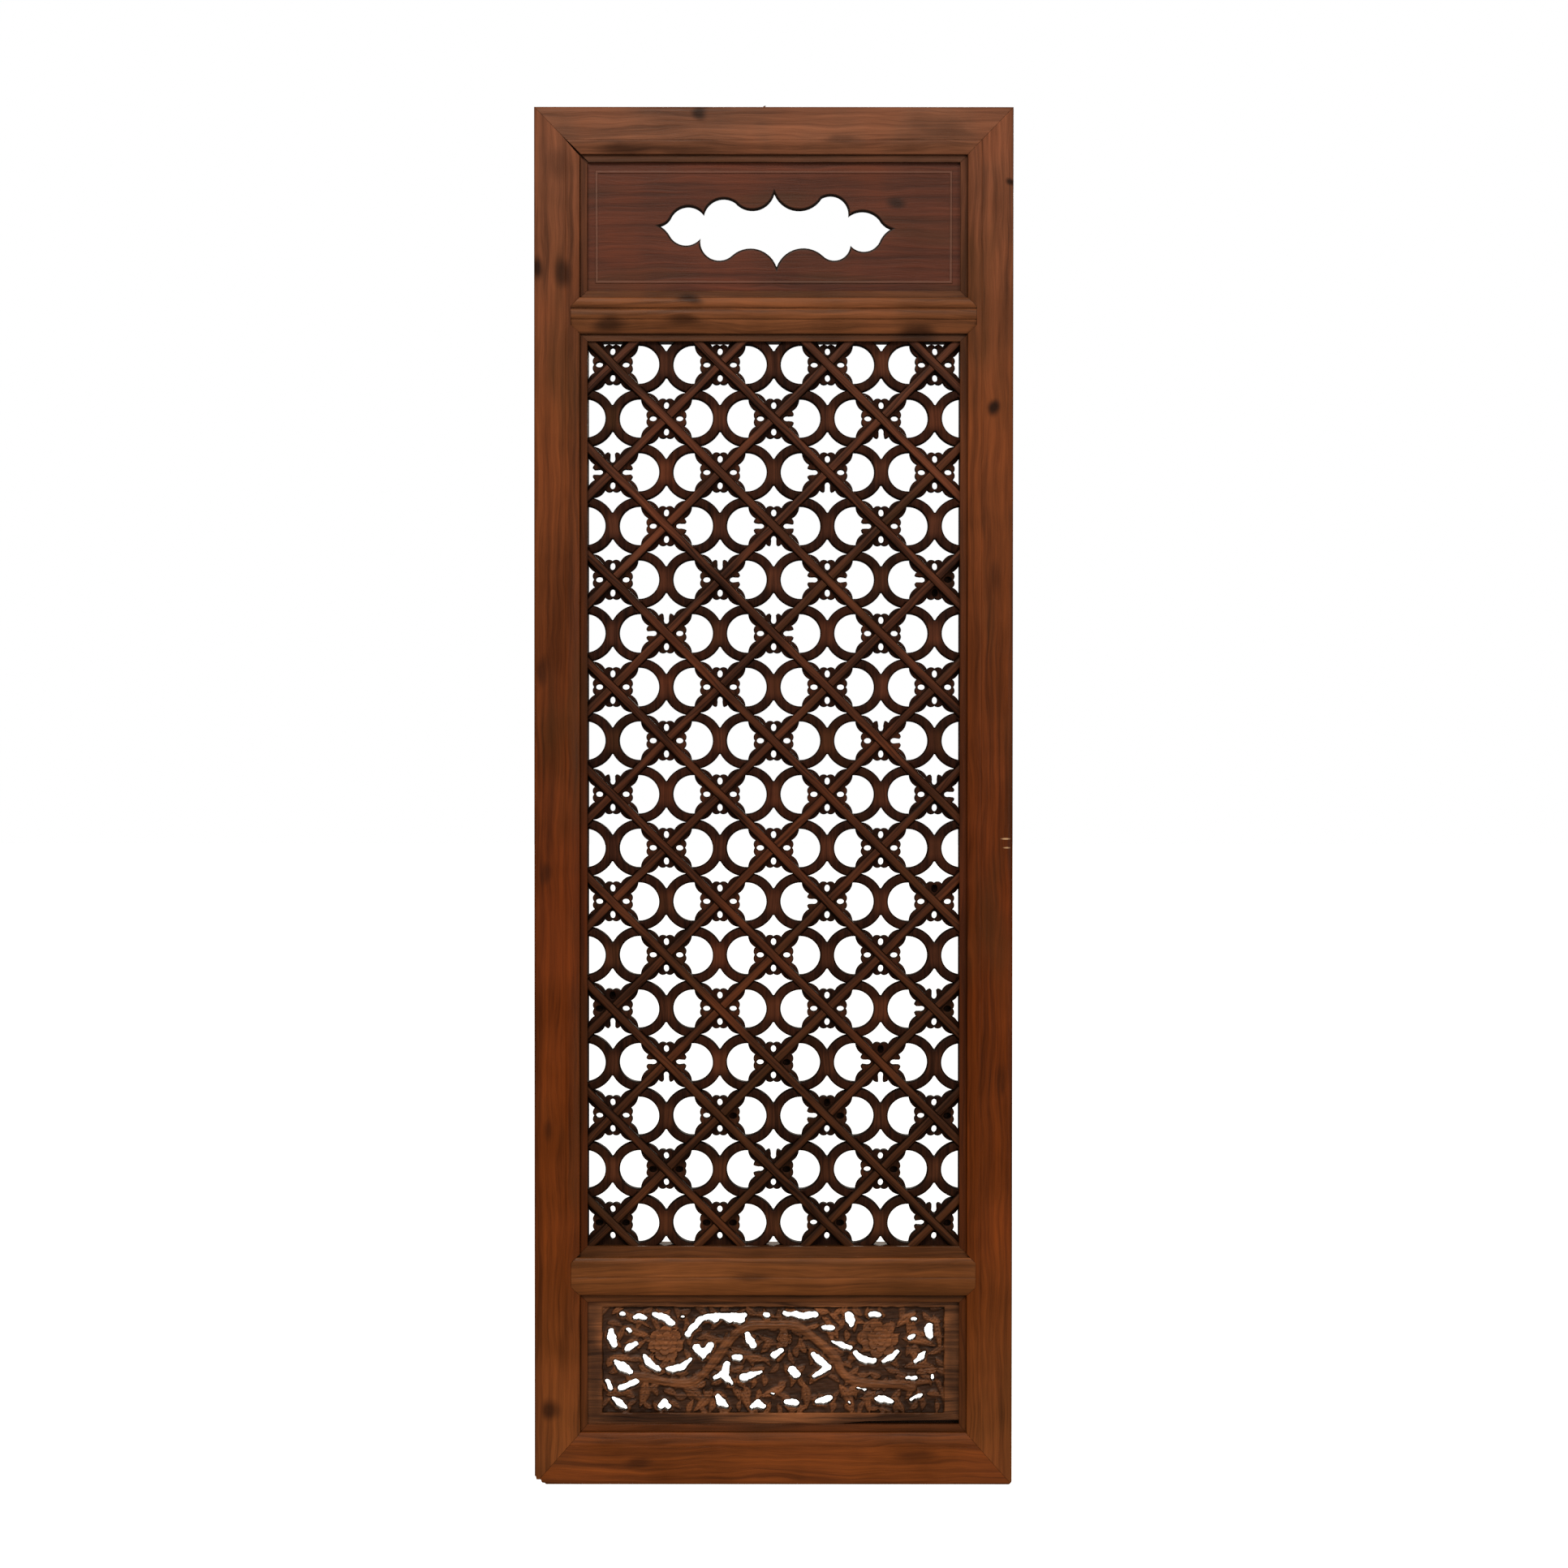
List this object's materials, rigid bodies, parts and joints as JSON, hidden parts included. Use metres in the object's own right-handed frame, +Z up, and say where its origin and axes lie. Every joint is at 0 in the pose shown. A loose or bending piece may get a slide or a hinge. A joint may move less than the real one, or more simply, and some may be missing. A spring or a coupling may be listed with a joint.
{
  "type": "pierced wooden lattice panel",
  "caption": "Tall narrow framed wooden panel with a diagonal openwork lattice, a shaped opening in the board above and a pierced carved board below.",
  "frame": {"origin": "middle of the top rail's back face, where the panel is hung or screwed to a wall", "axes": "+X to the right seen from the front, +Y out of the back towards the wall, +Z up along the stiles"},
  "size_m": [0.434, 0.04, 1.25],
  "materials": {
    "frame_wood": "old red-brown stain under a thin worn varnish, satin",
    "board_wood": "old purple-brown stain, dull, sooty in the carving",
    "lattice_wood": "dark red-brown stain, worn paler on the front edges, sooty behind"
  },
  "bodies": {
    "root": {"stile_left": "frame_wood", "stile_right": "frame_wood", "rail_top": "frame_wood", "rail_upper": "frame_wood", "rail_lower": "frame_wood", "rail_bottom": "frame_wood", "board_upper": "board_wood", "board_lower": "board_wood", "bar_rising_01": "lattice_wood", "bar_rising_02": "lattice_wood", "bar_rising_03": "lattice_wood", "bar_rising_04": "lattice_wood", "bar_rising_05": "lattice_wood", "bar_rising_06": "lattice_wood", "bar_rising_07": "lattice_wood", "bar_rising_08": "lattice_wood", "bar_rising_09": "lattice_wood", "bar_rising_10": "lattice_wood", "bar_rising_11": "lattice_wood", "bar_rising_12": "lattice_wood", "bar_falling_01": "lattice_wood", "bar_falling_02": "lattice_wood", "bar_falling_03": "lattice_wood", "bar_falling_04": "lattice_wood", "bar_falling_05": "lattice_wood", "bar_falling_06": "lattice_wood", "bar_falling_07": "lattice_wood", "bar_falling_08": "lattice_wood", "bar_falling_09": "lattice_wood", "bar_falling_10": "lattice_wood", "bar_falling_11": "lattice_wood", "bar_falling_12": "lattice_wood"}
  },
  "joints": []
}
